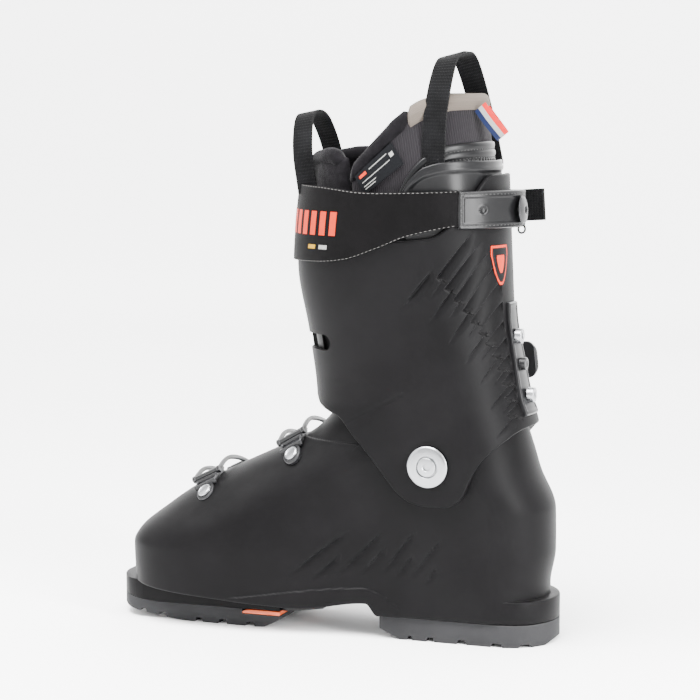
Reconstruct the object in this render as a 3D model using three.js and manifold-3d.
// A right alpine ski boot: an overlap shell with rockered soles, a cuff that flexes on two ankle pivots,
// four over-centre buckles, a liner with its tongue and pull loops, and a power strap.
// Millimetres. +X points to the toe, +Y to the inner side of the foot, +Z up; the origin is under the
// heel, in the middle of the heel sole's tread.
import * as THREE from "three";
import { mergeVertices } from "three/addons/utils/BufferGeometryUtils.js";
import Module from "manifold-3d";

const wasm = await Module();
wasm.setup();

// ---------------------------------------------------------------- driving dimensions

const soleLength = 308; // heel end to toe end, the size that a binding is set to
const heelReach = 52; // from the origin back to the heel end
const toeTip = soleLength - heelReach;
const toeLugWidth = 69;
const toeLugRadius = 43;
const toeLugTop = 26;
const toeLugThickness = 10;
const heelLugWidth = 70;
const heelLedgeTop = 30;
const heelLedgeBase = 15;
const heelBlockLength = 112;
const toeSoleStart = 131; // rear edge of the toe sole
const rockerRise = 8; // how far the toe end of the tread is off the ground
const soleGap = 0.4;

const ballWidth = 101; // the shell across the ball of the foot
const ankleWidth = 82; // the shell across the ankle, under the cuff
const heelWidth = 75;
const toeSetBack = 12; // from the lug's end back to the toe box
const toeBoxShift = 5; // the big toe side reaches further forward
const shellWall = 4.5;

const pivot = { x: 23, z: 118 };
const pivotHole = 4.4;
const flexAngle = 8;
const earRadius = 48; // the shell's side ears, round the pivot
const cuffWall = 4;
const cuffGap = 1.5; // between the shell's ear and the inside of the cuff
const cuffWidthTop = 110;
const cuffDepth = 146; // shin to calf at the top of the cuff
const cuffTop = 306;

const linerWall = 6;
const fitGap = 0.7;
const seat = 0.3; // between two pieces that touch
const spoilerWall = 2.5;
const linerInset = cuffWall + spoilerWall + 2 * fitGap;
const collarTop = cuffTop + 50;
const tongueTop = cuffTop + 16;

const strapTop = cuffTop - 9;
const strapHeight = 50;
const strapThickness = 2.6;

const washerRadius = 13.4;
const rivetRadius = 5;

// ---------------------------------------------------------------- shape helpers

const smooth = (t) => t * t * (3 - 2 * t);
const clamp01 = (t) => Math.min(1, Math.max(0, t));
const mix = (a, b, t) => a + (b - a) * t;

// A curve through [height, value] points that never overshoots between two of them.
function profile(points) {
  const n = points.length;
  const slope = (i) => (points[i + 1][1] - points[i][1]) / (points[i + 1][0] - points[i][0]);
  const tangent = points.map((_, i) => {
    if (i === 0) return slope(0);
    if (i === n - 1) return slope(n - 2);
    const [a, b] = [slope(i - 1), slope(i)];
    return a * b <= 0 ? 0 : (2 * a * b) / (a + b);
  });
  return (z) => {
    if (z <= points[0][0]) return points[0][1] + tangent[0] * (z - points[0][0]);
    if (z >= points[n - 1][0]) return points[n - 1][1] + tangent[n - 1] * (z - points[n - 1][0]);
    const i = points.findIndex((p, k) => k < n - 1 && z < points[k + 1][0]);
    const h = points[i + 1][0] - points[i][0];
    const t = (z - points[i][0]) / h;
    const [p, q] = [points[i][1], points[i + 1][1]];
    return (
      p * (1 + 2 * t) * (1 - t) ** 2 +
      q * t * t * (3 - 2 * t) +
      tangent[i] * h * t * (1 - t) ** 2 +
      tangent[i + 1] * h * t * t * (t - 1)
    );
  };
}

function toSolid(geometry) {
  const bare = new THREE.BufferGeometry().setAttribute("position", geometry.getAttribute("position"));
  if (geometry.index) bare.setIndex(geometry.index);
  const merged = mergeVertices(bare, 1e-3);
  return new wasm.Manifold(
    new wasm.Mesh({
      numProp: 3,
      vertProperties: merged.attributes.position.array,
      triVerts: new Uint32Array(merged.index.array),
    }),
  );
}

function toGeometry(solid) {
  const mesh = solid.getMesh();
  const positions = new Float32Array(mesh.numVert * 3);
  for (let i = 0; i < mesh.numVert; i++) {
    positions.set(mesh.vertProperties.subarray(i * mesh.numProp, i * mesh.numProp + 3), i * 3);
  }
  const geometry = new THREE.BufferGeometry();
  geometry.setAttribute("position", new THREE.BufferAttribute(positions, 3));
  geometry.setIndex(new THREE.BufferAttribute(new Uint32Array(mesh.triVerts), 1));
  geometry.computeVertexNormals();
  return geometry;
}

// Closed rings of points, one above the other, become one solid with flat ends.
function loft(rings) {
  const count = rings[0].length;
  const positions = rings.flat().flatMap((p) => [p.x, p.y, p.z]);
  const index = [];
  for (let r = 0; r < rings.length - 1; r++) {
    for (let i = 0; i < count; i++) {
      const j = (i + 1) % count;
      const [a, b, c, d] = [r * count + i, r * count + j, (r + 1) * count + j, (r + 1) * count + i];
      index.push(a, b, c, a, c, d);
    }
  }
  for (const [ring, first, flip] of [
    [rings[0], 0, true],
    [rings.at(-1), (rings.length - 1) * count, false],
  ]) {
    const middle = ring.reduce((s, p) => s.add(p), new THREE.Vector3()).divideScalar(count);
    const centre = positions.length / 3;
    positions.push(middle.x, middle.y, middle.z);
    for (let i = 0; i < count; i++) {
      const [a, b] = [first + i, first + ((i + 1) % count)];
      index.push(...(flip ? [centre, b, a] : [centre, a, b]));
    }
  }
  const geometry = new THREE.BufferGeometry();
  geometry.setAttribute("position", new THREE.BufferAttribute(new Float32Array(positions), 3));
  geometry.setIndex(index);
  return toSolid(geometry);
}

// One level of a hollow form: an outline with a round heel or calf end and a round toe or shin end.
// grow moves the whole outline outwards, and in when it is negative.
function ring(form, z, grow) {
  const lean = Math.hypot(1, (form.front(z + 1) - form.front(z - 1)) / 2);
  const rear = form.rear(z) - grow;
  const front = form.front(z) + grow * Math.min(lean, 1.9);
  const rearCap = Math.min(form.rearCap(z), (front - rear) * 0.48);
  const frontCap = Math.min(form.frontCap(z), (front - rear) * 0.5);
  const blunt = form.blunt(z);
  const stations = [];
  const capSteps = form.capSteps;
  for (let i = 0; i <= capSteps; i++) {
    const turn = (i / capSteps) * (Math.PI / 2);
    stations.push([rear + rearCap * (1 - Math.cos(turn)), Math.sin(turn)]);
  }
  for (let i = 1; i < form.midSteps; i++) {
    stations.push([mix(rear + rearCap, front - frontCap, i / form.midSteps), 1]);
  }
  for (let i = capSteps; i >= 0; i--) {
    const turn = (i / capSteps) * (Math.PI / 2);
    const along = 1 - Math.cos(turn) ** (2 / blunt);
    stations.push([front - frontCap * along, Math.sin(turn) ** (2 / blunt)]);
  }
  const at = ([x, share], side) =>
    new THREE.Vector3(x, form.shift(x) * share + side * share * (form.half(x, z) + grow), z);
  const lateral = stations.map((s) => at(s, -1));
  const medial = stations.slice(1, -1).map((s) => at(s, 1));
  return [...lateral, ...medial.reverse()];
}

// Half the form's width at any point of its side view.
function halfAt(form, x, z, grow = 0) {
  const [rear, front] = [form.rear(z) - grow, form.front(z) + grow];
  const [rearCap, frontCap] = [form.rearCap(z), form.frontCap(z)];
  const blunt = form.blunt(z);
  const back = clamp01((rear + rearCap - x) / rearCap);
  const ahead = clamp01((x - front + frontCap) / frontCap);
  const share = Math.min(Math.sqrt(1 - back * back), (1 - ahead ** blunt) ** (1 / blunt));
  return share * (form.half(x, z) + grow);
}

function hollowLevels(form, from, to, grow, steps) {
  const levels = Array.from({ length: steps + 1 }, (_, i) => mix(from, to, i / steps));
  return loft(levels.map((z) => ring(form, z, grow)));
}

// A side view outline, [x, z] points, cut through from y0 to y1.
function sideCut(points, y0 = -200, y1 = 200) {
  const shape = new THREE.Shape(points.map(([x, z]) => new THREE.Vector2(x, z)));
  const geometry = new THREE.ExtrudeGeometry(shape, { depth: y1 - y0, bevelEnabled: false });
  geometry.rotateX(Math.PI / 2).translate(0, y1, 0);
  return toSolid(geometry);
}

// A plan outline, [x, y] points, from z0 up to z1.
function planBlock(points, z0, z1) {
  const shape = new THREE.Shape(points.map(([x, y]) => new THREE.Vector2(x, y)));
  const geometry = new THREE.ExtrudeGeometry(shape, { depth: z1 - z0, bevelEnabled: false });
  return toSolid(geometry.translate(0, 0, z0));
}

function box(x0, x1, y0, y1, z0, z1) {
  const geometry = new THREE.BoxGeometry(x1 - x0, y1 - y0, z1 - z0);
  return toSolid(geometry.translate((x0 + x1) / 2, (y0 + y1) / 2, (z0 + z1) / 2));
}

// A round pin or disc along `axis` ("x", "y" or "z") from a to b, centred on the two other coordinates.
function rod(axis, a, b, p, q, radius, sides = 16) {
  const geometry = new THREE.CylinderGeometry(radius, radius, b - a, sides);
  if (axis === "x") geometry.rotateZ(Math.PI / 2).translate((a + b) / 2, p, q);
  if (axis === "y") geometry.translate(p, (a + b) / 2, q);
  if (axis === "z") geometry.rotateX(Math.PI / 2).translate(p, q, (a + b) / 2);
  return toSolid(geometry);
}

const boot = new THREE.Group();
boot.name = "ski_boot";

function add(name, solid, look) {
  const material = new THREE.MeshStandardMaterial(look);
  const mesh = new THREE.Mesh(toGeometry(solid), material);
  mesh.name = name;
  boot.add(mesh);
  return solid;
}

const shellPlastic = { color: 0x303032, roughness: 0.55 };
const glossPlastic = { color: 0x1c1c1e, roughness: 0.25 };
const soleRubber = { color: 0x5c5c5e, roughness: 0.8 };
const orangePlastic = { color: 0xe0701c, roughness: 0.5 };
const steel = { color: 0xb9bcc0, roughness: 0.3, metalness: 1 };
const blackMetal = { color: 0x2a2a2c, roughness: 0.4, metalness: 0.8 };
const linerFabric = { color: 0x4a484c, roughness: 0.9 };
const plush = { color: 0x2c2a2e, roughness: 1 };
const webbing = { color: 0x1d1d1f, roughness: 0.95 };

// ---------------------------------------------------------------- the two forms

const cuffRear = profile([
  [88, -38],
  [127, -38],
  [145, -35.5],
  [160, -30],
  [185, -24.5],
  [212, -19.5],
  [cuffTop - 61, -17.5],
  [cuffTop, -14.5],
]);
const cuffForm = {
  rear: cuffRear,
  front: profile([
    [88, 113],
    [152, 113.5],
    [198, 119],
    [cuffTop - 61, cuffDepth - 19],
    [cuffTop - 36, cuffDepth - 20.5],
    [cuffTop, cuffDepth - 25],
  ]),
  half: (x, z) =>
    profile([
      [88, ankleWidth / 2 + cuffGap + cuffWall],
      [150, ankleWidth / 2 + cuffGap + cuffWall + 0.5],
      [cuffTop, cuffWidthTop / 2],
    ])(z),
  rearCap: profile([
    [88, 34],
    [127, 36],
    [150, 42],
    [212, 50],
    [cuffTop, 50],
  ]),
  frontCap: profile([
    [88, 30],
    [130, 38],
    [156, 66],
    [200, 76],
    [cuffTop, 76],
  ]),
  blunt: () => 2.15,
  shift: () => 0,
  capSteps: 6,
  midSteps: 3,
};

const neckFront = cuffForm.front(152) - cuffWall - 10;
const toeFace = toeTip - toeSetBack;
const ridge = (share) => mix(neckFront, toeFace, share);
const shellForm = {
  rear: profile([
    [10, -46],
    [36, -45.5],
    [60, -49],
    [86, -48.5],
    [112, -38],
    [127, -33.5],
    [145, -27.5],
    [165, -18],
  ]),
  front: profile([
    [10, ridge(0.985)],
    [36, ridge(1)],
    [52, ridge(1.005)],
    [60, ridge(0.98)],
    [76, ridge(0.85)],
    [91, ridge(0.7)],
    [106, ridge(0.49)],
    [122, ridge(0.26)],
    [136, ridge(0.1)],
    [152, ridge(0)],
    [168, ridge(-0.07)],
  ]),
  half: (x, z) => {
    const low = profile([
      [-heelReach, heelWidth / 2],
      [0, heelWidth / 2],
      [mix(0, toeTip, 0.32), ankleWidth / 2],
      [mix(0, toeTip, 0.62), ballWidth / 2],
      [mix(0, toeTip, 0.8), ballWidth / 2 - 2],
      [toeTip, ballWidth / 2 - 5],
    ])(x);
    const high = ankleWidth / 2;
    return mix(low, high, smooth(clamp01((z - 50) / 60)));
  },
  rearCap: profile([
    [10, 36],
    [112, 36],
    [150, 50],
  ]),
  frontCap: profile([
    [10, 62],
    [50, 66],
    [90, 84],
    [140, 80],
    [165, 70],
  ]),
  blunt: profile([
    [10, 2.9],
    [50, 2.9],
    [70, 2.5],
    [100, 2.1],
    [165, 2],
  ]),
  shift: (x) => toeBoxShift * smooth(clamp01((x - 120) / 110)),
  capSteps: 6,
  midSteps: 4,
};

const shellBase = 12;
const shellHigh = 172;
const shellLevels = 14;
const liningLevels = 10;
const cuffLevels = 10;
const shellOutside = (grow) => hollowLevels(shellForm, shellBase - 2, shellHigh, grow, shellLevels);
const cuffOutside = (grow) => hollowLevels(cuffForm, 86, cuffTop + 14, grow, cuffLevels);
const shellFloor = heelLedgeBase + shellWall + 1;
const shellLining = (grow) => hollowLevels(shellForm, shellFloor, shellHigh + 1, grow, liningLevels);
const shellInside = shellLining(-shellWall);
const cuffInside = hollowLevels(cuffForm, 85, cuffTop + 15, -cuffWall, cuffLevels);

// A sector seen from the side: every point that is further than `radius` from the pivot and whose
// direction from it lies between the two angles, in degrees up from the toe.
function pivotArc(radius, from, to, steps) {
  return Array.from({ length: steps + 1 }, (_, i) => {
    const angle = THREE.MathUtils.degToRad(mix(from, to, i / steps));
    return [pivot.x + radius * Math.cos(angle), pivot.z + radius * Math.sin(angle)];
  });
}
const openFront = 24; // the shell's throat stands below this line from the pivot
const openRear = 150;
const throat = (radius, front, rear) =>
  sideCut([...pivotArc(radius, front, rear, 12), ...pivotArc(260, rear, front, 6)]);

// ---------------------------------------------------------------- lower shell and soles

const archHeight = 23;
const bodyBottom = [
  [-heelReach - 2, heelLedgeBase],
  [60, heelLedgeBase],
  [67, archHeight],
  [toeSoleStart - 16, 17],
  [toeSoleStart, 18],
  [toeTip - 30, toeLugTop - 1.5],
  [toeTip + 2, toeLugTop + 1],
];

function lugOutline(width, from, radius, tip) {
  const half = width / 2;
  const points = [];
  for (let i = -8; i <= 8; i++) {
    const y = (half * i) / 8;
    points.push([tip - (radius - Math.sqrt(Math.max(radius * radius - y * y, 0))), y]);
  }
  return [[from, -half], ...points, [from, half]];
}
function heelOutline(width, to, radius, end) {
  return lugOutline(width, -to, radius, end).map(([x, y]) => [-x, -y]);
}

const toeTread = profile([
  [toeSoleStart, 6],
  [toeSoleStart + 14, 0],
  [toeTip - 62, 0],
  [toeTip - 24, 4],
  [toeTip, rockerRise],
]);
const lugBottomAt = profile([
  [toeSoleStart, 12],
  [toeTip - 38, 12],
  [toeTip, toeLugTop - toeLugThickness],
]);
const evenly = (from, to, count) => Array.from({ length: count + 1 }, (_, i) => mix(from, to, i / count));

const toePlan = lugOutline(toeLugWidth, toeSoleStart, toeLugRadius, toeTip);
const toeLug = planBlock(toePlan, 0, toeLugTop).intersect(
  sideCut([
    ...evenly(toeSoleStart, toeTip + 1, 8).map((x) => [x, lugBottomAt(x)]),
    [toeTip + 1, toeLugTop + 5],
    [toeSoleStart, toeLugTop + 5],
  ]),
);
const heelLedge = planBlock(heelOutline(heelLugWidth, 40, 38, heelReach), heelLedgeBase, heelLedgeTop);
const shellHollow = shellInside.intersect(box(-200, 300, -200, 200, heelLedgeBase + shellWall + 6, 300));
const aboveSole = sideCut([...bodyBottom, [toeTip + 2, 300], [-heelReach - 2, 300]]);
const shellBody = shellOutside(0).intersect(aboveSole);
const lowerShell = shellBody
  .add(toeLug)
  .add(heelLedge)
  .subtract(shellHollow)
  .subtract(throat(earRadius, openFront, openRear))
  .subtract(rod("y", -80, 80, pivot.x, pivot.z, pivotHole, 24));

const treadGroove = 2.2;
const toeSoleBody = planBlock(toePlan, -1, toeLugTop).intersect(
  sideCut([
    ...evenly(toeSoleStart, toeTip + 1, 12).map((x) => [x, toeTread(x)]),
    ...evenly(toeTip + 1, toeSoleStart, 8).map((x) => [x, lugBottomAt(x) - soleGap]),
  ]),
);
const grooves = (xs, z0, z1) =>
  xs.map((x) => box(x - 1.5, x + 1.5, -60, 60, z0, z1)).reduce((all, one) => all.add(one));
const glide = { from: toeSoleStart - 1, to: toeSoleStart + 27, half: 21, base: 8.6 };
const glidePocket = box(glide.from - 6, glide.to + seat, -60, 60, glide.base - seat, 40);
const soleScrew = { radius: 4.6, low: 2.6, high: 5.6 };
const toeScrews = [
  [toeTip - 82, 20],
  [toeTip - 82, -20],
];
const heelScrews = [
  [26, 18],
  [26, -18],
];
const screwWells = (places) =>
  places
    .map(([x, y]) => rod("z", -3, soleScrew.high + seat + 0.1, x, y, soleScrew.radius + seat, 16))
    .reduce((all, one) => all.add(one));
const toeGrooves = [96, 68, 54, 40, 26].map((back) => toeTip - back);
const toeSole = toeSoleBody
  .subtract(glidePocket)
  .subtract(grooves(toeGrooves, -2, treadGroove + 2.5))
  .subtract(screwWells(toeScrews));

const heelSoleShape = [
  [-heelReach, 3],
  [-heelReach + 4, 0],
  [heelBlockLength - heelReach - 14, 0],
  [heelBlockLength - heelReach - 1, 6],
  [heelBlockLength - heelReach, heelLedgeBase - soleGap],
  [-heelReach, heelLedgeBase - soleGap],
];
const heelSole = planBlock(heelOutline(heelLugWidth, heelBlockLength - heelReach, 38, heelReach), 0, 20)
  .intersect(sideCut(heelSoleShape))
  .subtract(grooves([-34, 12, 38], -2, treadGroove + 1))
  .subtract(screwWells(heelScrews));

const glidePlate = box(glide.from, glide.to, -glide.half, glide.half, glide.base, 12 - soleGap - seat)
  .add(box(glide.from, glide.to, -toeLugWidth / 2, toeLugWidth / 2, glide.base, 11.3))
  .subtract(box(glide.from - 5, glide.from + 1, -60, 60, 0, 30));

add("lower_shell", lowerShell, shellPlastic);
add("toe_sole", toeSole, soleRubber);
add("heel_sole", heelSole, soleRubber);
add("toe_glide_plate", glidePlate, orangePlastic);
for (const [end, places] of [
  ["toe", toeScrews],
  ["heel", heelScrews],
]) {
  places.forEach(([x, y], i) => {
    const screw = rod("z", soleScrew.low, soleScrew.high, x, y, soleScrew.radius, 16);
    add(`${end}_sole_screw_${i === 0 ? "medial" : "lateral"}`, screw, steel);
  });
}

const bumper = { from: toeSoleStart - 30, to: toeSoleStart - seat, top: 16.6, drop: 5 };
const archBumper = planBlock(
  [
    [bumper.from, -30],
    [bumper.to, -32],
    [bumper.to, 32],
    [bumper.from, 30],
  ],
  5,
  30,
).intersect(
  sideCut([
    [bumper.from, bumper.top - 1.5],
    [bumper.to - 6, bumper.top - bumper.drop],
    [bumper.to, bumper.top - bumper.drop],
    [bumper.to, bumper.top],
    [bumper.from, bumper.top],
  ]),
);
add("arch_bumper", archBumper, glossPlastic);

// ---------------------------------------------------------------- cuff

const pastFront = cuffDepth + 4; // ahead of the cuff, for side outlines that run out past it
const cuffEdge = [
  [pastFront, 166],
  [114, 159],
  [105, 152],
  [96, 149],
  [88, 147],
  [70, 130],
  [59, 117],
  [51, 107],
  [43, 98],
  [34, 93],
  [25, 91.5],
  [13, 91.5],
  [6, 93.5],
  [0, 99],
  [-5, 110],
  [-12, 122],
  [-22, 132],
  [-34, 141.5],
  [-60, 148],
];
const cuffCollar = [
  [-60, cuffTop - 1],
  [-12, cuffTop - 1],
  [-5, cuffTop - 12],
  [6, cuffTop - 30],
  [22, cuffTop - 41],
  [50, cuffTop - 43],
  [74, cuffTop - 38],
  [98, cuffTop - 24],
  [pastFront, cuffTop - 14],
];
const notch = { x: 98, low: 189, high: 199.5 };
const cuffShell = cuffOutside(0).subtract(cuffInside);
const cuffNotch = box(notch.x, 200, 4, 80, notch.low, notch.high).add(
  rod("y", 4, 80, notch.x, (notch.low + notch.high) / 2, (notch.high - notch.low) / 2, 16),
);
const cuff = cuffShell
  .intersect(sideCut([...cuffEdge, ...cuffCollar]))
  .subtract(cuffNotch)
  .subtract(rod("y", -80, 80, pivot.x, pivot.z, pivotHole, 24));
add("cuff", cuff, shellPlastic);

// A piece of a shell that follows the cuff, between two distances from its outside.
const cuffSkin = (inner, outer, from, to) =>
  cuffOutside(outer)
    .subtract(cuffOutside(inner))
    .intersect(box(-200, 300, -200, 200, from, to));

const spoilerOuter = -cuffWall - fitGap;
const spoiler = { low: cuffTop - 74, high: cuffTop + 8 };
const spoilerArch = [
  [-60, spoiler.low],
  [14, spoiler.low],
  [24, spoiler.low + 30],
  [24, spoiler.high - 21],
  [18, spoiler.high - 10],
  [8, spoiler.high - 3],
  [-2, spoiler.high],
  [-60, spoiler.high],
];
add(
  "rear_spoiler",
  cuffSkin(spoilerOuter - spoilerWall, spoilerOuter, spoiler.low - 2, spoiler.high + 2).intersect(
    sideCut(spoilerArch),
  ),
  glossPlastic,
);

for (const [side, sign] of [
  ["medial", 1],
  ["lateral", -1],
]) {
  const face = halfAt(cuffForm, pivot.x, pivot.z + washerRadius) + 2 * seat;
  const washer = { from: face, to: face + 2.4 };
  const span = (a, b) => (sign > 0 ? [a, b] : [-b, -a]);
  const ringSolid = rod("y", ...span(washer.from, washer.to), pivot.x, pivot.z, washerRadius, 32).subtract(
    rod("y", ...span(washer.from - 1, washer.to + 1), pivot.x, pivot.z, pivotHole, 24),
  );
  add(`pivot_washer_${side}`, ringSolid, steel);
  const inside = ankleWidth / 2 - shellWall + seat;
  const screw = rod("y", ...span(inside, washer.to + seat + 0.6), pivot.x, pivot.z, pivotHole - 0.4, 20).add(
    rod("y", ...span(washer.to + seat, washer.to + 1.8), pivot.x, pivot.z, 6, 20),
  );
  const socket = rod("y", ...span(washer.to + 0.4, washer.to + 3), pivot.x, pivot.z, 2.6, 6);
  add(`pivot_screw_${side}`, screw.subtract(socket), steel);
}

const spineArea = [
  [9, 222],
  [15, 150],
  [-7, 150],
  [-7, 222],
];
const spineBlock = toSolid(
  new THREE.ExtrudeGeometry(new THREE.Shape(spineArea.map(([y, z]) => new THREE.Vector2(y, z))), {
    depth: 80,
    bevelEnabled: false,
  })
    .rotateX(Math.PI / 2)
    .rotateZ(Math.PI / 2)
    .translate(-60, 0, 0),
);
const spineSkin = (inner, outer) => cuffSkin(inner, outer, 146, 226).intersect(spineBlock);
const spinePlate = { inner: seat, outer: seat + 2 };
add("spine_plate", spineSkin(spinePlate.inner, spinePlate.outer), glossPlastic);
function spineStud(name, z, y, radius, look, height = 1.6) {
  const reach = Math.max(-cuffRear(z - radius), -cuffRear(z + radius));
  const out = reach + spinePlate.outer + seat + fitGap;
  add(name, rod("x", -out - height, -out, y, z, radius, 16), look);
}
spineStud("spine_screw_upper", 200, 3, 5, steel);
spineStud("spine_screw_lower", 162, 4, 5, steel, 1.9);
spineStud("spine_plug", 182, 3.5, 4.2, glossPlastic, 1.1);

// ---------------------------------------------------------------- liner

const linerSplit = earRadius + 4;
const splitFront = openFront + flexAngle + 8;
const pivotRay = (radius, angle) => pivotArc(radius, angle, angle, 1)[0];
const linerFootZone = sideCut([
  [-heelReach - 30, 0],
  [toeTip, 0],
  [toeTip, 160],
  pivotRay(150, openFront),
  ...pivotArc(linerSplit - seat, openFront, openRear, 12),
  pivotRay(100, openRear),
  [-heelReach - 30, 160],
]);
const boardTop = heelLedgeBase + shellWall + 6;
const boardLow = boardTop + 0.3;
const boardHigh = boardLow + 6;
const linerFloor = boardHigh + 0.4;
const footOuter = shellLining(-shellWall - fitGap).intersect(
  box(-200, 300, -200, 200, linerFloor, 300),
);
const footInner = shellLining(-shellWall - fitGap - linerWall).intersect(
  box(-200, 300, -200, 200, linerFloor + linerWall - 1, 300),
);
add("liner_foot", footOuter.subtract(footInner).intersect(linerFootZone), linerFabric);
add(
  "footbed",
  shellLining(-shellWall - fitGap - linerWall - 1).intersect(
    box(-200, 300, -200, 200, linerFloor + linerWall - 1 + seat, linerFloor + linerWall + 3),
  ),
  plush,
);
add(
  "boot_board",
  shellLining(-shellWall - fitGap).intersect(box(-200, 300, -200, 200, boardLow, boardHigh)),
  glossPlastic,
);

const legZone = sideCut([
  ...pivotArc(linerSplit + seat, splitFront, openRear, 12),
  pivotRay(70, openRear),
  [-60, 250],
  [-60, collarTop],
  [14, collarTop],
  [30, collarTop - 4],
  [46, collarTop - 14],
  [58, collarTop - 30],
  [68, collarTop - 44],
  [82, collarTop - 60],
  [92, collarTop - 70],
  [pastFront, collarTop - 72],
  pivotRay(150, splitFront),
]);
const linerForm = {
  ...cuffForm,
  half: (x, z) =>
    profile([
      [88, ankleWidth / 2 + cuffGap + cuffWall],
      [150, ankleWidth / 2 + cuffGap + cuffWall + 0.5],
      [cuffTop - 16, cuffWidthTop / 2 - 1],
      [collarTop, cuffWidthTop / 2 - 4],
    ])(z),
  rear: profile([
    [88, -38],
    [127, -37],
    [160, -30],
    [212, -19.5],
    [cuffTop - 61, -17],
    [cuffTop, -13],
    [collarTop, -12],
  ]),
  front: profile([
    [88, 113],
    [152, 112],
    [198, 120],
    [cuffTop - 61, cuffDepth - 18],
    [cuffTop, cuffDepth - 22],
    [collarTop, cuffDepth - 24],
  ]),
};
const linerOut = (grow) => hollowLevels(linerForm, 118, collarTop + 1, grow, 9);
const linerIn = hollowLevels(linerForm, 117, collarTop + 2, -linerInset - linerWall, 9);
const legTube = linerOut(-linerInset).subtract(linerIn);
const tongueEdge = (z) => mix(62, 80, (z - 150) / 170);
const tongueSide = (inset) => [
  [tongueEdge(120) + inset, 120],
  [tongueEdge(collarTop) + inset, collarTop],
  [200, collarTop],
  [200, 120],
];
add("liner_cuff", legTube.intersect(legZone).subtract(sideCut(tongueSide(0))), linerFabric);
const tongueZone = sideCut([
  pivotRay(200, splitFront),
  [200, tongueTop],
  [96, tongueTop],
  [80, tongueTop - 14],
  [60, tongueTop - 40],
  ...pivotArc(linerSplit + seat, splitFront + 14, splitFront, 3),
]);
add(
  "liner_tongue",
  legTube.intersect(tongueZone).intersect(sideCut(tongueSide(2 * seat))),
  plush,
);

// ---------------------------------------------------------------- power strap

const strapArea = (high, rear) => [
  [rear, high - 24],
  [16, high - 26],
  [36, high - 31],
  [56, high - 39],
  [80, high - 47],
  [98, high - 49],
  [pastFront, high - strapHeight],
  [pastFront, high + 1],
  [98, high],
  [60, high - 3],
  [16, high - 2],
  [rear, high - 1],
];
const plateEnd = 5;
const strapSkin = (inner, outer) => cuffSkin(inner, outer, strapTop - strapHeight - 4, strapTop + 4);
const strap = strapSkin(seat, seat + strapThickness).intersect(
  sideCut(strapArea(strapTop, plateEnd + 0.6)),
);
add("power_strap", strap, { ...webbing, roughness: 0.7 });
// The end plate stands off the back of the cuff and carries a domed screw.
const platePath = new THREE.CatmullRomCurve3(
  [
    [plateEnd, 44.6],
    [-3, 38],
    [-10, 31],
    [-16, 23],
    [-21, 14],
    [-23.5, 5],
    [-24, -3],
  ].map(([x, y]) => new THREE.Vector3(x, y, 0)),
);
const plateThick = 3;
const platePlan = (thick, from = 0) => {
  const steps = Array.from({ length: 10 }, (_, i) => i / 9);
  const points = steps.map((t) => platePath.getPoint(t));
  const outs = steps.map((t) => {
    const way = platePath.getTangent(t);
    return new THREE.Vector3(way.y, -way.x, 0);
  });
  const edge = (h) => points.map((p, i) => [p.x + outs[i].x * h, p.y + outs[i].y * h]);
  return [...edge(from), ...edge(from + thick).reverse()];
};
const plateBand = { low: strapTop - 26, high: strapTop - 2 };
const domeAt = { y: 7, z: strapTop - 15, radius: 9, shank: 2.6 };
const domeX = -23.4 - plateThick;
const endPlate = planBlock(platePlan(plateThick), plateBand.low, plateBand.high);
add(
  "strap_end_plate",
  endPlate.subtract(rod("x", -60, 20, domeAt.y, domeAt.z, domeAt.shank + seat, 16)),
  glossPlastic,
);
add(
  "strap_screw",
  rod("x", domeX - 3, domeX - 1, domeAt.y, domeAt.z, domeAt.radius, 20).add(
    rod("x", domeX - 2, cuffRear(domeAt.z) - 0.9, domeAt.y, domeAt.z, domeAt.shank, 16),
  ),
  blackMetal,
);

const tail = { x: -14, length: 26, y: -33, low: strapTop - 25, high: strapTop - 3, thick: 2.4 };
add(
  "strap_tail",
  sideCut(
    [
      [tail.x, tail.low],
      [tail.x, tail.high],
      [tail.x - tail.length * 0.8, tail.high + 1],
      [tail.x - tail.length, tail.high - 3],
      [tail.x - tail.length - 2, tail.low + 4],
      [tail.x - tail.length * 0.5, tail.low],
    ],
    tail.y - tail.thick / 2,
    tail.y + tail.thick / 2,
  ),
  webbing,
);

// ---------------------------------------------------------------- pull loops

// A webbing loop that stands across the boot: a flat band that follows the curve, `wide` along the boot.
function pullLoop(name, legs, top, wide, lean) {
  const curve = new THREE.CatmullRomCurve3([
    new THREE.Vector3(legs.x, -legs.y, legs.z),
    new THREE.Vector3(mix(legs.x, top.x, 0.5), -legs.y * 0.96, mix(legs.z, top.z, 0.5)),
    new THREE.Vector3(top.x - lean, -legs.y * 0.55, top.z - 5),
    new THREE.Vector3(top.x, 0, top.z),
    new THREE.Vector3(top.x - lean, legs.y * 0.55, top.z - 5),
    new THREE.Vector3(mix(legs.x, top.x, 0.5), legs.y * 0.96, mix(legs.z, top.z, 0.5)),
    new THREE.Vector3(legs.x, legs.y, legs.z),
  ]);
  const points = curve.getPoints(26);
  const rings = points.map((p, i) => {
    const [before, after] = [points[Math.max(i - 1, 0)], points[Math.min(i + 1, points.length - 1)]];
    const along = after.clone().sub(before).normalize();
    const side = new THREE.Vector3(1, 0, 0).addScaledVector(along, -along.x).normalize();
    const out = along.clone().cross(side).normalize();
    const corner = (a, b) => p.clone().addScaledVector(side, (a * wide) / 2).addScaledVector(out, b);
    return [corner(-1, -1), corner(1, -1), corner(1, 1), corner(-1, 1)];
  });
  add(name, loft(rings), webbing);
}

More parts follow.
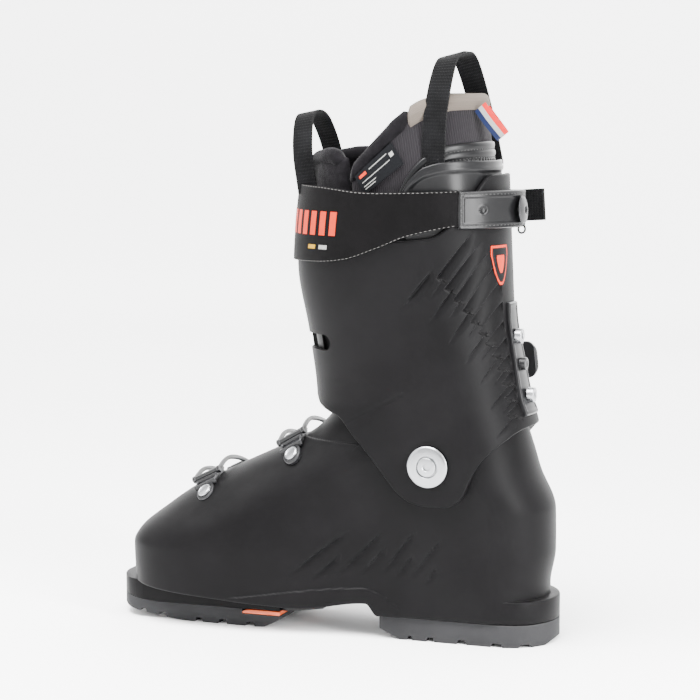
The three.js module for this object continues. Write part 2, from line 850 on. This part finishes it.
const linerHalf = (x, z) => halfAt(linerForm, x, z, -linerInset);
const rearLoop = {
  legs: { x: 28, y: linerHalf(30, cuffTop + 6) + 2.8, z: cuffTop + 2 },
  top: { x: 6, z: collarTop + 27 },
};
const shin = { x: cuffDepth - 34, z: tongueTop - 21 };
const frontLoop = {
  legs: { ...shin, y: linerHalf(shin.x, shin.z) + 11.86 },
  top: { x: shin.x + 9, z: tongueTop + 22 },
};
pullLoop("rear_pull_loop", rearLoop.legs, rearLoop.top, 18, 3);
pullLoop("front_pull_loop", frontLoop.legs, frontLoop.top, 13, 0);

// ---------------------------------------------------------------- buckles

// A cross-section of a form, seen as a flat curve from the outer side of the foot over to the inner side.
// side runs from outer to inner, out away from the boot, and along completes the set.
function section(origin, out, halfWidth, deepest) {
  const side = new THREE.Vector3(0, 1, 0);
  const along = side.clone().cross(out).normalize();
  const depths = Array.from({ length: 49 }, (_, i) => deepest * (i / 48) ** 2);
  const inner = depths.map((t) => new THREE.Vector2(halfWidth(t), -t));
  const outer = inner.slice(1).map((p) => new THREE.Vector2(-p.x, p.y));
  const points = [...outer.reverse(), ...inner];
  const lengths = [0];
  for (let i = 1; i < points.length; i++) lengths.push(lengths[i - 1] + points[i].distanceTo(points[i - 1]));
  const middle = lengths[outer.length];
  const at = (l) => {
    const target = l + middle;
    let i = lengths.findIndex((v) => v >= target);
    i = i < 1 ? 1 : i;
    const t = (target - lengths[i - 1]) / (lengths[i] - lengths[i - 1]);
    return points[i - 1].clone().lerp(points[i], t);
  };
  const offset = (l, h) => {
    const way = at(l + 4).sub(at(l - 4)).normalize();
    return at(l).add(new THREE.Vector2(-way.y, way.x).multiplyScalar(h));
  };
  const basis = new THREE.Matrix4().makeBasis(side, out, along).setPosition(origin);
  const space = (p, v = 0) => new THREE.Vector3(p.x, p.y, v).applyMatrix4(basis);
  const extrude = (outline, v0, v1) => {
    const shape = new THREE.Shape(outline);
    const geometry = new THREE.ExtrudeGeometry(shape, { depth: v1 - v0, bevelEnabled: false });
    return toSolid(geometry.translate(0, 0, v0).applyMatrix4(basis));
  };
  const band = (l0, l1, h0, h1, v0, v1, steps = 6) => {
    const ls = Array.from({ length: steps + 1 }, (_, i) => mix(l0, l1, i / steps));
    const low = ls.map((l) => offset(l, typeof h0 === "function" ? h0(l) : h0));
    const high = ls.map((l) => offset(l, typeof h1 === "function" ? h1(l) : h1)).reverse();
    return extrude([...low, ...high], v0, v1);
  };
  const pin = (centre, radius, v0, v1, sides = 12) => {
    const geometry = new THREE.CylinderGeometry(radius, radius, v1 - v0, sides);
    geometry.rotateX(Math.PI / 2).translate(centre.x, centre.y, (v0 + v1) / 2);
    return toSolid(geometry.applyMatrix4(basis));
  };
  // A round head on the surface at l, its axis along the surface's normal there.
  const stud = (l, v, h, radius, thick) => {
    const [foot, tip] = [offset(l, h), offset(l, h + thick)];
    const middlePoint = foot.clone().add(tip).multiplyScalar(0.5);
    const geometry = new THREE.CylinderGeometry(radius * 0.8, radius, thick, 14);
    geometry.rotateZ(-Math.atan2(tip.x - foot.x, tip.y - foot.y));
    return toSolid(geometry.translate(middlePoint.x, middlePoint.y, v).applyMatrix4(basis));
  };
  return { offset, space, extrude, band, pin, stud, along };
}

function ridgeSection(height) {
  const front = shellForm.front;
  const slope = new THREE.Vector3(front(height + 5) - front(height - 5), 0, 10).normalize();
  const out = new THREE.Vector3(slope.z, 0, -slope.x);
  const origin = new THREE.Vector3(front(height), 0, height);
  const halfWidth = (t) => (t === 0 ? 0 : halfAt(shellForm, origin.x - out.x * t, height - out.z * t));
  return section(origin, out, halfWidth, 62);
}

const cuffTilt = 6; // the cuff's buckles run lower at the shin than at the calf
function cuffSection(height) {
  const tilt = THREE.MathUtils.degToRad(cuffTilt);
  const out = new THREE.Vector3(Math.cos(tilt), 0, -Math.sin(tilt));
  const origin = new THREE.Vector3(cuffForm.front(height), 0, height);
  const halfWidth = (t) => (t === 0 ? 0 : halfAt(cuffForm, origin.x - out.x * t, height - out.z * t));
  return section(origin, out, halfWidth, 118);
}

const buckle = {
  plate: 2.2,
  pinHeight: 8,
  pinRadius: 1.5,
  leverThick: 4,
  leverHalf: 8.4,
  earWall: 2,
  armWall: 2.2,
  sideGap: 0.5,
  barRadius: 1.8,
  tooth: 2.2,
  lockBack: 10.5, // the bail's pin behind the lever's own pin
  lockDrop: 1.2, // and how far under the line of pull it rests
};
const earInner = buckle.leverHalf - buckle.earWall - 2 * buckle.sideGap;
const armInner = buckle.leverHalf + buckle.sideGap;
const armOuter = armInner + buckle.armWall;

// Where each lever and bail turns, for whoever drives the boot's joints.
export const joints = {
  cuff: { hinge: new THREE.Vector3(pivot.x, 0, pivot.z), axis: new THREE.Vector3(0, 1, 0) },
};

function makeBuckle(name, cut, place) {
  const { hinge, bar, leverLength, paddle, tuck, rise } = place;
  const pinHeight = buckle.pinHeight + rise;
  const pinAt = cut.offset(hinge, pinHeight);
  const back = cut
    .offset(hinge - 3, pinHeight)
    .sub(cut.offset(hinge + 3, pinHeight))
    .normalize();
  const outward = new THREE.Vector2(back.y, -back.x);
  const from = (along, up) => pinAt.clone().addScaledVector(back, along).addScaledVector(outward, up);
  const outline = (pairs) => pairs.map(([along, up]) => from(along, up));
  const lock = from(buckle.lockBack, -buckle.lockDrop);
  const swell = place.surface(seat * 0.9);
  const mirrored = (inner, outer) => [
    [-outer, -inner],
    [inner, outer],
  ];

  // The base plate with its two ears, riveted to the shell.
  const plateRear = hinge - place.plateBack;
  const earShape = outline([
    [-3.4, 2.4],
    [0, 3.6],
    [3.4, 2.4],
    [6, 1 - pinHeight],
    [-6, 1 - pinHeight],
  ]);
  let base = cut.band(plateRear, hinge + 7, seat, seat + buckle.plate, -armInner, armInner);
  for (const [v0, v1] of mirrored(earInner, earInner + buckle.earWall)) {
    base = base.add(cut.extrude(earShape, v0, v1));
  }
  base = base.subtract(swell).subtract(cut.pin(pinAt, buckle.pinRadius + seat, -armOuter, armOuter));
  add(`${name}_base`, base, blackMetal);
  add(`${name}_pin`, cut.pin(pinAt, buckle.pinRadius, -armInner + 0.6, armInner - 0.6), steel);
  const rivet = cut.stud(plateRear + 6, 0, seat + buckle.plate + 0.9, rivetRadius - 0.5, 1.2);
  add(`${name}_rivet`, rivet, steel);

  // The lever, with a hub between the ears and a wide paddle at its free end.
  const half = buckle.leverThick / 2;
  const hubHalf = earInner - buckle.sideGap;
  const armShape = outline([
    [0, half],
    [0, -half],
    [9, -half - 2],
    [9, half],
  ]);
  const yokeShape = outline([
    [7.2, half],
    [7.2, -half - 2],
    [14, -half - 2],
    [16, -half],
    [16, half],
  ]);
  const bladeShape = outline([
    [13.4, half - 0.3],
    [13.4, -half + 0.3],
    [leverLength - 4, -half + 1 + tuck],
    [leverLength, -half + 2.4 + tuck],
    [leverLength, half + 0.4 + tuck],
  ]);
  const boltHole = (at) => cut.pin(at, buckle.pinRadius + 0.4, -armOuter, armOuter, 14);
  const lever = cut
    .pin(pinAt, 3.6, -hubHalf, hubHalf, 14)
    .add(cut.extrude(armShape, -hubHalf, hubHalf))
    .add(cut.extrude(yokeShape, -buckle.leverHalf, buckle.leverHalf))
    .add(cut.extrude(bladeShape, -paddle, paddle))
    .subtract(boltHole(pinAt))
    .subtract(boltHole(lock));
  add(`${name}_lever`, lever, blackMetal);

  // The bail: a pin through the lever, two arms over the boot and the bar that the catch holds.
  const barHeight = seat + buckle.plate + 0.5 + buckle.barRadius;
  const barAt = cut.offset(bar, barHeight);
  const armHeight = (l) => mix(pinHeight - 1, barHeight, smooth(clamp01((l - bar + 22) / 22)));
  const [under, over] = [(l) => armHeight(l) - 1.5, (l) => armHeight(l) + 1.5];
  const boltHalf = armInner + 0.4;
  let bail = cut
    .pin(lock, buckle.pinRadius, -boltHalf, boltHalf)
    .add(cut.pin(barAt, buckle.barRadius, -boltHalf, boltHalf));
  for (const [v0, v1] of mirrored(armInner, armOuter)) {
    bail = bail
      .add(cut.band(hinge - buckle.lockBack, bar, under, over, v0, v1))
      .add(cut.pin(lock, 2.8, v0, v1))
      .add(cut.pin(barAt, 2.5, v0, v1));
  }
  add(`${name}_bail`, bail, blackMetal);

  // The catch: a toothed plate under the bar, with its rivet further round.
  const pitch = buckle.barRadius * 2 + 3;
  const catchHalf = armInner - buckle.sideGap;
  const catchEnd = bar + place.catchReach;
  const plateTop = seat + buckle.plate;
  let rack = cut.band(bar - pitch * 1.6, catchEnd, seat, plateTop, -catchHalf, catchHalf);
  for (const k of [-1.5, -0.5, 0.5, 1.5]) {
    const l = bar + k * pitch;
    const tooth = [
      cut.offset(l - 0.8, plateTop + buckle.tooth),
      cut.offset(l + 0.2, plateTop + buckle.tooth),
      cut.offset(l + 1, seat + 1),
      cut.offset(l - 1, seat + 1),
    ];
    rack = rack.add(cut.extrude(tooth, -catchHalf, catchHalf));
  }
  add(`${name}_catch`, rack.subtract(swell), blackMetal);
  const catchRivet = cut.stud(catchEnd - 6.5, 0, plateTop + place.rivetLift, rivetRadius, 1.4);
  add(`${name}_catch_rivet`, catchRivet, steel);

  joints[name] = { hinge: cut.space(pinAt), lock: cut.space(lock), axis: cut.along.clone().negate() };
}

const shellBuckle = {
  leverLength: 46,
  paddle: 11,
  tuck: -2,
  rise: 0,
  catchReach: 22,
  plateBack: 22,
  rivetLift: 1,
  surface: shellOutside,
};
const cuffBuckle = {
  leverLength: 60,
  paddle: 12.5,
  tuck: 0,
  rise: 1.2,
  catchReach: 20,
  plateBack: 23,
  rivetLift: 2.3,
  surface: cuffOutside,
};
makeBuckle("toe_buckle", ridgeSection(97), { ...shellBuckle, hinge: -30, bar: 17 });
makeBuckle("instep_buckle", ridgeSection(127), { ...shellBuckle, hinge: -30, bar: 17 });
makeBuckle("lower_cuff_buckle", cuffSection(164), { ...cuffBuckle, hinge: -100, bar: -44 });
makeBuckle("upper_cuff_buckle", cuffSection(cuffTop - 75), { ...cuffBuckle, hinge: -92, bar: -38 });

export default boot;
